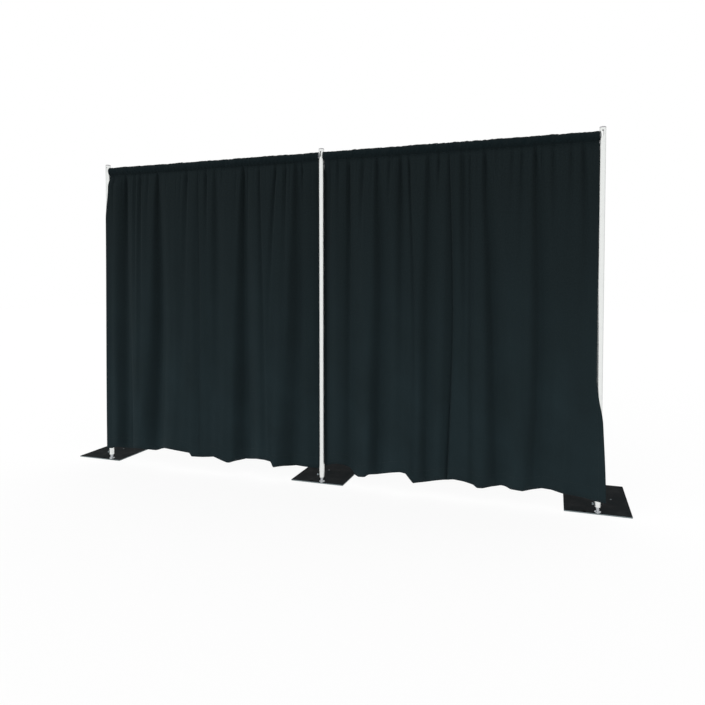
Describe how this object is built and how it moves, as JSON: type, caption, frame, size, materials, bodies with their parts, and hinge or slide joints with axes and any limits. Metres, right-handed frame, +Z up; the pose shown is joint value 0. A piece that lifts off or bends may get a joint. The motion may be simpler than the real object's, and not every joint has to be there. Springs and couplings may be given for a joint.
{
  "type": "pipe and drape backdrop",
  "caption": "Free-standing drape backdrop: slip-on uprights on flat base plates carry telescopic crossbars with hooked ends, and black cloth panels gathered on the bars by rod pockets.",
  "frame": {"origin": "on the floor under the middle of the centre base plate", "axes": "+X runs along the screen to the right as seen from its front, +Y points from the drapes back over the base plates, +Z is up"},
  "size_m": [4.2764, 0.6566, 2.4384],
  "materials": {
    "aluminium_tube": "satin anodised",
    "zinc_steel": "bright zinc plate",
    "black_plate": "satin black powder coat",
    "grey_plastic": "moulded, satin",
    "black_plastic": "moulded, satin",
    "black_cloth": "plain matt weave"
  },
  "bodies": {
    "centre_pin": {"centre_base_pin": "zinc_steel", "centre_pin_screw": "zinc_steel"},
    "centre_base": {"centre_base_plate": "black_plate", "centre_plate_screw": "zinc_steel", "centre_spare_hole_plug": "black_plastic"},
    "centre_upright": {"centre_upright_tube": "aluminium_tube", "centre_top_cap": "grey_plastic", "centre_foot_bush": "grey_plastic"},
    "centre_thumbscrew": {"centre_foot_thumbscrew": "zinc_steel"},
    "left_crossbar": {"left_bar_outer_tube": "aluminium_tube", "left_bar_mouth_bush": "black_plastic", "left_near_end_plug": "zinc_steel", "left_near_hook_blade": "zinc_steel", "left_near_cross_pin": "zinc_steel", "left_near_drape": "black_cloth"},
    "left_end": {"left_bar_inner_tube": "aluminium_tube", "left_bar_tail_bush": "black_plastic", "left_far_end_plug": "zinc_steel", "left_far_hook_blade": "zinc_steel", "left_far_cross_pin": "zinc_steel", "left_far_drape": "black_cloth", "left_upright_tube": "aluminium_tube", "left_top_cap": "grey_plastic", "left_foot_bush": "grey_plastic"},
    "left_thumbscrew": {"left_foot_thumbscrew": "zinc_steel"},
    "left_pin": {"left_base_pin": "zinc_steel", "left_pin_screw": "zinc_steel"},
    "left_base": {"left_base_plate": "black_plate", "left_plate_screw": "zinc_steel", "left_spare_hole_plug": "black_plastic"},
    "right_crossbar": {"right_bar_outer_tube": "aluminium_tube", "right_bar_mouth_bush": "black_plastic", "right_near_end_plug": "zinc_steel", "right_near_hook_blade": "zinc_steel", "right_near_cross_pin": "zinc_steel", "right_near_drape": "black_cloth"},
    "right_end": {"right_bar_inner_tube": "aluminium_tube", "right_bar_tail_bush": "black_plastic", "right_far_end_plug": "zinc_steel", "right_far_hook_blade": "zinc_steel", "right_far_cross_pin": "zinc_steel", "right_far_drape": "black_cloth", "right_upright_tube": "aluminium_tube", "right_top_cap": "grey_plastic", "right_foot_bush": "grey_plastic"},
    "right_thumbscrew": {"right_foot_thumbscrew": "zinc_steel"},
    "right_pin": {"right_base_pin": "zinc_steel", "right_pin_screw": "zinc_steel"},
    "right_base": {"right_base_plate": "black_plate", "right_plate_screw": "zinc_steel", "right_spare_hole_plug": "black_plastic"}
  },
  "joints": [
    {"name": "centre_base_swivel", "type": "hinge", "parent": "centre_pin", "child": "centre_base", "pos_m": [0.035, -0.2828, 0], "axis": [0, 0, 1], "continuous": true},
    {"name": "screen_lift", "type": "slide", "parent": "centre_pin", "child": "centre_upright", "axis": [0, 0, 1], "range_m": [0, 0.17]},
    {"name": "centre_thumbscrew_turn", "type": "hinge", "parent": "centre_upright", "child": "centre_thumbscrew", "pos_m": [0.035, -0.2828, 0.05935], "axis": [1, 0, 0], "range_deg": [0, 720]},
    {"name": "left_bar_unhook", "type": "slide", "parent": "centre_upright", "child": "left_crossbar", "axis": [0, 0, 1], "range_m": [0, 0.017]},
    {"name": "left_span_extend", "type": "slide", "parent": "left_crossbar", "child": "left_end", "axis": [-1, 0, 0], "range_m": [0, 1.166]},
    {"name": "left_thumbscrew_turn", "type": "hinge", "parent": "left_end", "child": "left_thumbscrew", "pos_m": [-1.845, -0.2828, 0.05935], "axis": [1, 0, 0], "range_deg": [0, 720]},
    {"name": "left_base_drop", "type": "slide", "parent": "left_end", "child": "left_pin", "axis": [0, 0, -1], "range_m": [0, 0.17]},
    {"name": "left_base_swivel", "type": "hinge", "parent": "left_pin", "child": "left_base", "pos_m": [-1.845, -0.2828, 0], "axis": [0, 0, 1], "continuous": true},
    {"name": "right_bar_unhook", "type": "slide", "parent": "centre_upright", "child": "right_crossbar", "axis": [0, 0, 1], "range_m": [0, 0.017]},
    {"name": "right_span_extend", "type": "slide", "parent": "right_crossbar", "child": "right_end", "axis": [1, 0, 0], "range_m": [0, 1.166]},
    {"name": "right_thumbscrew_turn", "type": "hinge", "parent": "right_end", "child": "right_thumbscrew", "pos_m": [1.915, -0.2828, 0.05935], "axis": [1, 0, 0], "range_deg": [0, 720]},
    {"name": "right_base_drop", "type": "slide", "parent": "right_end", "child": "right_pin", "axis": [0, 0, -1], "range_m": [0, 0.17]},
    {"name": "right_base_swivel", "type": "hinge", "parent": "right_pin", "child": "right_base", "pos_m": [1.915, -0.2828, 0], "axis": [0, 0, 1], "continuous": true}
  ],
  "couplings": [
    {"joint": "left_base_drop", "follows": "screen_lift", "ratio": 1},
    {"joint": "right_base_drop", "follows": "screen_lift", "ratio": 1}
  ]
}
